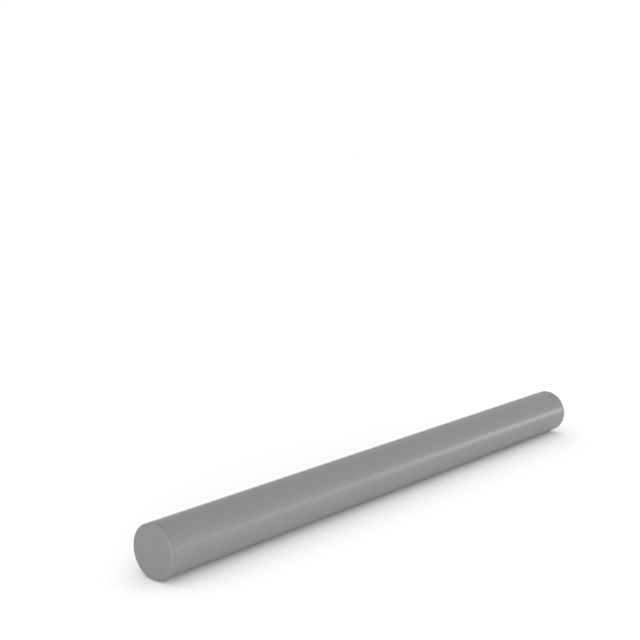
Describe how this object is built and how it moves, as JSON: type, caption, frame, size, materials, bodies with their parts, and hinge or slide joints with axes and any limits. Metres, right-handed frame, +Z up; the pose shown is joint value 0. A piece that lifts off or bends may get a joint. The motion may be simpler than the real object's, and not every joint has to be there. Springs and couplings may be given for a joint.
{
  "type": "soundbar",
  "caption": "Long round cloth-fronted speaker tube with flat end caps, two rubber pads, rear bracket inserts, a connector bay and keys on one end.",
  "frame": {"origin": "middle of the foot plane, under the barrel's axis and half way along it", "axes": "+X along the bar towards the end with the keys, -Y towards the listener, +Z up"},
  "size_m": [1.03, 0.078, 0.0786],
  "materials": {
    "acoustic_cloth": "satin",
    "grey_plastic": "satin",
    "frame_plastic": "satin",
    "key_plastic": "satin",
    "steel": "satin",
    "brass": "satin",
    "foot_rubber": "matt",
    "roll_rubber": "satin",
    "paper": "matt",
    "spider_cloth": "matt",
    "damping_wool": "matt",
    "gasket_foam": "matt",
    "circuit_board": "satin",
    "board_parts": "satin",
    "heat_sink_metal": "satin",
    "socket_plastic": "satin",
    "wire_sleeve": "satin"
  },
  "bodies": {
    "housing": {"aux_socket": "socket_plastic", "board_modules": "board_parts", "board_screws": "steel", "board_tray": "frame_plastic", "bracket_inserts": "brass", "case_screws": "steel", "chamber_gaskets": "gasket_foam", "control_board": "circuit_board", "damping_pads": "damping_wool", "driver_screws": "steel", "front_baffle": "frame_plastic", "grille_cloth": "acoustic_cloth", "grille_frame": "frame_plastic", "hdmi_socket": "steel", "heat_sink": "heat_sink_metal", "indicator_board": "circuit_board", "io_panel": "socket_plastic", "left_chamber": "frame_plastic", "left_end_cap": "grey_plastic", "left_inner_driver_basket": "frame_plastic", "left_inner_driver_motor": "steel", "left_inner_driver_surround": "roll_rubber", "left_outer_driver_basket": "frame_plastic", "left_outer_driver_motor": "steel", "left_outer_driver_surround": "roll_rubber", "left_radiator_surround": "roll_rubber", "main_board": "circuit_board", "mains_inlet": "socket_plastic", "optical_socket": "socket_plastic", "power_board": "circuit_board", "power_components": "board_parts", "radiator_rings": "frame_plastic", "rear_shell": "grey_plastic", "right_chamber": "frame_plastic", "right_end_cap": "grey_plastic", "right_inner_driver_basket": "frame_plastic", "right_inner_driver_motor": "steel", "right_inner_driver_surround": "roll_rubber", "right_outer_driver_basket": "frame_plastic", "right_outer_driver_motor": "steel", "right_outer_driver_surround": "roll_rubber", "right_radiator_surround": "roll_rubber", "rubber_feet": "foot_rubber", "spiders": "spider_cloth", "tact_switches": "board_parts", "usb_socket": "steel", "wiring_harness": "wire_sleeve"},
    "left_outer_cone": {"left_outer_driver_cone": "paper"},
    "left_inner_cone": {"left_inner_driver_cone": "paper"},
    "right_inner_cone": {"right_inner_driver_cone": "paper"},
    "right_outer_cone": {"right_outer_driver_cone": "paper"},
    "left_radiator": {"left_radiator_plate": "paper"},
    "right_radiator": {"right_radiator_plate": "paper"},
    "power_key": {"power_key": "key_plastic"},
    "volume_up_key": {"volume_up_key": "key_plastic"},
    "volume_down_key": {"volume_down_key": "key_plastic"},
    "source_key": {"source_key": "key_plastic"},
    "play_key": {"play_key": "key_plastic"},
    "shutter": {"optical_shutter": "socket_plastic"}
  },
  "joints": [
    {"name": "left_outer_cone_travel", "type": "slide", "parent": "housing", "child": "left_outer_cone", "axis": [0, 1, 0], "range_m": [-0.003, 0.003], "stiffness_N_per_m": 1500, "deforming": ["left_outer_driver_surround", "spiders"]},
    {"name": "left_inner_cone_travel", "type": "slide", "parent": "housing", "child": "left_inner_cone", "axis": [0, 1, 0], "range_m": [-0.003, 0.003], "stiffness_N_per_m": 1500, "deforming": ["left_inner_driver_surround", "spiders"]},
    {"name": "right_inner_cone_travel", "type": "slide", "parent": "housing", "child": "right_inner_cone", "axis": [0, 1, 0], "range_m": [-0.003, 0.003], "stiffness_N_per_m": 1500, "deforming": ["right_inner_driver_surround", "spiders"]},
    {"name": "right_outer_cone_travel", "type": "slide", "parent": "housing", "child": "right_outer_cone", "axis": [0, 1, 0], "range_m": [-0.003, 0.003], "stiffness_N_per_m": 1500, "deforming": ["right_outer_driver_surround", "spiders"]},
    {"name": "left_radiator_travel", "type": "slide", "parent": "housing", "child": "left_radiator", "axis": [0, 1, 0], "range_m": [-0.004, 0.004], "stiffness_N_per_m": 800, "deforming": ["left_radiator_surround"]},
    {"name": "right_radiator_travel", "type": "slide", "parent": "housing", "child": "right_radiator", "axis": [0, 1, 0], "range_m": [-0.004, 0.004], "stiffness_N_per_m": 800, "deforming": ["right_radiator_surround"]},
    {"name": "power_key_press", "type": "slide", "parent": "housing", "child": "power_key", "axis": [-1, 0, 0], "range_m": [0, 0.0005], "stiffness_N_per_m": 500, "springref_m": -0.001},
    {"name": "volume_up_key_press", "type": "slide", "parent": "housing", "child": "volume_up_key", "axis": [-1, 0, 0], "range_m": [0, 0.0005], "stiffness_N_per_m": 500, "springref_m": -0.001},
    {"name": "volume_down_key_press", "type": "slide", "parent": "housing", "child": "volume_down_key", "axis": [-1, 0, 0], "range_m": [0, 0.0005], "stiffness_N_per_m": 500, "springref_m": -0.001},
    {"name": "source_key_press", "type": "slide", "parent": "housing", "child": "source_key", "axis": [-1, 0, 0], "range_m": [0, 0.0005], "stiffness_N_per_m": 500, "springref_m": -0.001},
    {"name": "play_key_press", "type": "slide", "parent": "housing", "child": "play_key", "axis": [-1, 0, 0], "range_m": [0, 0.0005], "stiffness_N_per_m": 500, "springref_m": -0.001},
    {"name": "shutter_hinge", "type": "hinge", "parent": "housing", "child": "shutter", "pos_m": [0.008, 0.0189, 0.0398], "axis": [-1, 0, 0], "range_deg": [0, 80], "stiffness_Nm_per_rad": 0.0005, "springref_deg": -17.19}
  ]
}
